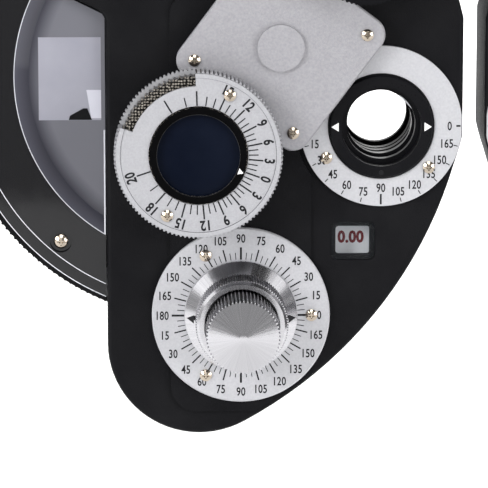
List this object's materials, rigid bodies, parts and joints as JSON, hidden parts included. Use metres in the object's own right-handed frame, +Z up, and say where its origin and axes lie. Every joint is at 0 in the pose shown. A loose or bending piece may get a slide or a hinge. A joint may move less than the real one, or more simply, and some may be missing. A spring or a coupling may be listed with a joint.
{
  "type": "phoropter",
  "caption": "Manual refractor head: two mirrored lens-disc housings on a levelling bridge, with cylinder knobs, swing-in prisms, cross cylinders and a forehead rest.",
  "frame": {"origin": "middle of the bore that takes the stand's post", "axes": "+Z up along the post bore, -Y towards the examiner, +Y towards the patient, +X to the examiner's right"},
  "size_m": [0.3174, 0.093, 0.2882],
  "materials": {
    "black_texture": "fine textured black enamel",
    "black_satin": "satin black enamel",
    "silver_plate": "satin anodised silver with engraved black marks",
    "knurled_silver": "turned and knurled bright aluminium",
    "steel": "ground steel",
    "nickel": "nickel-plated screws",
    "smoke_clear": "smoke-tinted clear acrylic",
    "clear_glass": "coated optical glass",
    "prism_glass": "dark coated optical glass",
    "disc_alloy": "grey anodised disc",
    "dark_brass": "darkened knurled brass",
    "soft_black": "soft black moulding",
    "pad_vinyl": "padded black vinyl"
  },
  "bodies": {
    "mount": {"mount_bracket": "black_satin"},
    "bridge": {"bridge_block": "black_texture", "guide_rods": "steel"},
    "pd_control": {"pupil_distance_knob": "knurled_silver"},
    "forehead_rest": {"forehead_slide": "steel", "forehead_pad": "pad_vinyl"},
    "right_half": {"right_front_housing": "black_texture", "right_rear_housing": "black_texture", "right_clear_cover": "smoke_clear", "right_main_shaft": "steel", "right_axis_plate": "silver_plate", "right_aperture_plate": "silver_plate", "right_window_pane": "clear_glass", "right_screws": "nickel", "right_face_shield": "soft_black"},
    "right_weak_wheel": {"right_weak_sphere_wheel": "black_satin", "right_weak_sphere_lenses": "clear_glass"},
    "right_strong_disc": {"right_strong_sphere_disc": "disc_alloy", "right_strong_sphere_lenses": "clear_glass"},
    "right_strong_knob": {"right_strong_sphere_knob": "black_satin"},
    "right_aux_disc": {"right_auxiliary_disc": "disc_alloy"},
    "right_aux_knob": {"right_auxiliary_knob": "black_satin"},
    "right_cyl_disc": {"right_cylinder_disc": "silver_plate", "right_cylinder_lenses": "clear_glass"},
    "right_cyl_power": {"right_power_knob": "knurled_silver"},
    "right_cyl_axis": {"right_axis_knob": "knurled_silver"},
    "right_axis_pointer": {"right_pointer_ring": "black_satin"},
    "right_turret": {"right_turret_plate": "silver_plate"},
    "right_prism_unit": {"right_prism_bezel": "knurled_silver"},
    "right_prism_drive": {"right_prism_rotor": "dark_brass", "right_prism_lens": "prism_glass"},
    "right_cross_ring": {"right_cross_cylinder_ring": "black_satin"},
    "right_cross_flip": {"right_cross_cylinder_lens": "clear_glass"},
    "left_half": {"left_front_housing": "black_texture", "left_rear_housing": "black_texture", "left_clear_cover": "smoke_clear", "left_main_shaft": "steel", "left_axis_plate": "silver_plate", "left_aperture_plate": "silver_plate", "left_window_pane": "clear_glass", "left_screws": "nickel", "left_face_shield": "soft_black"},
    "left_weak_wheel": {"left_weak_sphere_wheel": "black_satin", "left_weak_sphere_lenses": "clear_glass"},
    "left_strong_disc": {"left_strong_sphere_disc": "disc_alloy", "left_strong_sphere_lenses": "clear_glass"},
    "left_strong_knob": {"left_strong_sphere_knob": "black_satin"},
    "left_aux_disc": {"left_auxiliary_disc": "disc_alloy"},
    "left_aux_knob": {"left_auxiliary_knob": "black_satin"},
    "left_cyl_disc": {"left_cylinder_disc": "silver_plate", "left_cylinder_lenses": "clear_glass"},
    "left_cyl_power": {"left_power_knob": "knurled_silver"},
    "left_cyl_axis": {"left_axis_knob": "knurled_silver"},
    "left_axis_pointer": {"left_pointer_ring": "black_satin"},
    "left_turret": {"left_turret_plate": "silver_plate"},
    "left_prism_unit": {"left_prism_bezel": "knurled_silver"},
    "left_prism_drive": {"left_prism_rotor": "dark_brass", "left_prism_lens": "prism_glass"},
    "left_cross_ring": {"left_cross_cylinder_ring": "black_satin"},
    "left_cross_flip": {"left_cross_cylinder_lens": "clear_glass"}
  },
  "joints": [
    {"name": "level_tilt", "type": "hinge", "parent": "mount", "child": "bridge", "pos_m": [0, 0, -0.029], "axis": [0, 1, 0], "range_deg": [-3, 3]},
    {"name": "forehead_slide_travel", "type": "slide", "parent": "bridge", "child": "forehead_rest", "axis": [0, 1, 0], "range_m": [-0.003, 0.009]},
    {"name": "right_pd_slide", "type": "slide", "parent": "bridge", "child": "right_half", "axis": [-1, 0, 0], "range_m": [-0.002, 0.012]},
    {"name": "right_weak_sphere_turn", "type": "hinge", "parent": "right_half", "child": "right_weak_wheel", "pos_m": [-0.0823, -0.016, -0.1635], "axis": [0, -1, 0], "continuous": true},
    {"name": "right_strong_sphere_turn", "type": "hinge", "parent": "right_half", "child": "right_strong_disc", "pos_m": [-0.0823, -0.016, -0.1635], "axis": [0, -1, 0], "continuous": true},
    {"name": "right_strong_knob_turn", "type": "hinge", "parent": "right_half", "child": "right_strong_knob", "pos_m": [-0.13463, -0.016, -0.09652], "axis": [0, -1, 0], "continuous": true},
    {"name": "right_auxiliary_turn", "type": "hinge", "parent": "right_half", "child": "right_aux_disc", "pos_m": [-0.0823, -0.016, -0.1635], "axis": [0, -1, 0], "continuous": true},
    {"name": "right_auxiliary_knob_turn", "type": "hinge", "parent": "right_half", "child": "right_aux_knob", "pos_m": [-0.08527, -0.016, -0.07855], "axis": [0, -1, 0], "continuous": true},
    {"name": "right_cylinder_disc_turn", "type": "hinge", "parent": "right_half", "child": "right_cyl_disc", "pos_m": [-0.0823, -0.016, -0.1635], "axis": [0, -1, 0], "continuous": true},
    {"name": "right_cylinder_power_turn", "type": "hinge", "parent": "right_half", "child": "right_cyl_power", "pos_m": [-0.0703, -0.016, -0.2357], "axis": [0, -1, 0], "continuous": true},
    {"name": "right_cylinder_axis_turn", "type": "hinge", "parent": "right_half", "child": "right_cyl_axis", "pos_m": [-0.0703, -0.016, -0.2357], "axis": [0, -1, 0], "continuous": true},
    {"name": "right_axis_pointer_turn", "type": "hinge", "parent": "right_half", "child": "right_axis_pointer", "pos_m": [-0.028, -0.016, -0.178], "axis": [0, -1, 0], "continuous": true},
    {"name": "right_turret_swing", "type": "hinge", "parent": "right_half", "child": "right_turret", "pos_m": [-0.0585, -0.016, -0.15325], "axis": [0, -1, 0], "range_deg": [-90, 90]},
    {"name": "right_prism_base_turn", "type": "hinge", "parent": "right_turret", "child": "right_prism_unit", "pos_m": [-0.08325, -0.016, -0.18377], "axis": [0, -1, 0], "range_deg": [-90, 90]},
    {"name": "right_prism_power_turn", "type": "hinge", "parent": "right_prism_unit", "child": "right_prism_drive", "pos_m": [-0.08325, -0.016, -0.18377], "axis": [0, -1, 0], "range_deg": [-141, 141]},
    {"name": "right_cross_axis_turn", "type": "hinge", "parent": "right_turret", "child": "right_cross_ring", "pos_m": [-0.03375, -0.016, -0.12273], "axis": [0, -1, 0], "continuous": true},
    {"name": "right_cross_flip_turn", "type": "hinge", "parent": "right_cross_ring", "child": "right_cross_flip", "pos_m": [-0.03375, -0.0335, -0.12273], "axis": [1, 0, 0], "range_deg": [0, 180]},
    {"name": "left_pd_slide", "type": "slide", "parent": "bridge", "child": "left_half", "axis": [1, 0, 0], "range_m": [-0.002, 0.012]},
    {"name": "left_weak_sphere_turn", "type": "hinge", "parent": "left_half", "child": "left_weak_wheel", "pos_m": [0.0823, -0.016, -0.1635], "axis": [0, -1, 0], "continuous": true},
    {"name": "left_strong_sphere_turn", "type": "hinge", "parent": "left_half", "child": "left_strong_disc", "pos_m": [0.0823, -0.016, -0.1635], "axis": [0, -1, 0], "continuous": true},
    {"name": "left_strong_knob_turn", "type": "hinge", "parent": "left_half", "child": "left_strong_knob", "pos_m": [0.13463, -0.016, -0.09652], "axis": [0, -1, 0], "continuous": true},
    {"name": "left_auxiliary_turn", "type": "hinge", "parent": "left_half", "child": "left_aux_disc", "pos_m": [0.0823, -0.016, -0.1635], "axis": [0, -1, 0], "continuous": true},
    {"name": "left_auxiliary_knob_turn", "type": "hinge", "parent": "left_half", "child": "left_aux_knob", "pos_m": [0.08527, -0.016, -0.07855], "axis": [0, -1, 0], "continuous": true},
    {"name": "left_cylinder_disc_turn", "type": "hinge", "parent": "left_half", "child": "left_cyl_disc", "pos_m": [0.0823, -0.016, -0.1635], "axis": [0, -1, 0], "continuous": true},
    {"name": "left_cylinder_power_turn", "type": "hinge", "parent": "left_half", "child": "left_cyl_power", "pos_m": [0.0703, -0.016, -0.2357], "axis": [0, -1, 0], "continuous": true},
    {"name": "left_cylinder_axis_turn", "type": "hinge", "parent": "left_half", "child": "left_cyl_axis", "pos_m": [0.0703, -0.016, -0.2357], "axis": [0, -1, 0], "continuous": true},
    {"name": "left_axis_pointer_turn", "type": "hinge", "parent": "left_half", "child": "left_axis_pointer", "pos_m": [0.028, -0.016, -0.178], "axis": [0, -1, 0], "continuous": true},
    {"name": "left_turret_swing", "type": "hinge", "parent": "left_half", "child": "left_turret", "pos_m": [0.0585, -0.016, -0.15325], "axis": [0, -1, 0], "range_deg": [-90, 90]},
    {"name": "left_prism_base_turn", "type": "hinge", "parent": "left_turret", "child": "left_prism_unit", "pos_m": [0.08325, -0.016, -0.18377], "axis": [0, -1, 0], "range_deg": [-90, 90]},
    {"name": "left_prism_power_turn", "type": "hinge", "parent": "left_prism_unit", "child": "left_prism_drive", "pos_m": [0.08325, -0.016, -0.18377], "axis": [0, -1, 0], "range_deg": [-141, 141]},
    {"name": "left_cross_axis_turn", "type": "hinge", "parent": "left_turret", "child": "left_cross_ring", "pos_m": [0.03375, -0.016, -0.12273], "axis": [0, -1, 0], "continuous": true},
    {"name": "left_cross_flip_turn", "type": "hinge", "parent": "left_cross_ring", "child": "left_cross_flip", "pos_m": [0.03375, -0.0335, -0.12273], "axis": [1, 0, 0], "range_deg": [0, 180]},
    {"name": "pd_knob_turn", "type": "hinge", "parent": "bridge", "child": "pd_control", "pos_m": [0, -0.016, -0.05], "axis": [0, -1, 0], "range_deg": [-23.5, 138.5]}
  ],
  "couplings": [
    {"joint": "right_strong_knob_turn", "follows": "right_strong_sphere_turn", "ratio": -4.7239},
    {"joint": "right_auxiliary_knob_turn", "follows": "right_auxiliary_turn", "ratio": -4.7239},
    {"joint": "right_cylinder_power_turn", "follows": "right_cylinder_disc_turn", "ratio": -1.7365},
    {"joint": "right_axis_pointer_turn", "follows": "right_cylinder_axis_turn", "ratio": 1},
    {"joint": "left_strong_knob_turn", "follows": "left_strong_sphere_turn", "ratio": -4.7239},
    {"joint": "left_auxiliary_knob_turn", "follows": "left_auxiliary_turn", "ratio": -4.7239},
    {"joint": "left_cylinder_power_turn", "follows": "left_cylinder_disc_turn", "ratio": -1.7365},
    {"joint": "left_axis_pointer_turn", "follows": "left_cylinder_axis_turn", "ratio": 1},
    {"joint": "left_pd_slide", "follows": "right_pd_slide", "ratio": 1},
    {"joint": "pd_knob_turn", "follows": "right_pd_slide", "rad_per_m": 200}
  ]
}
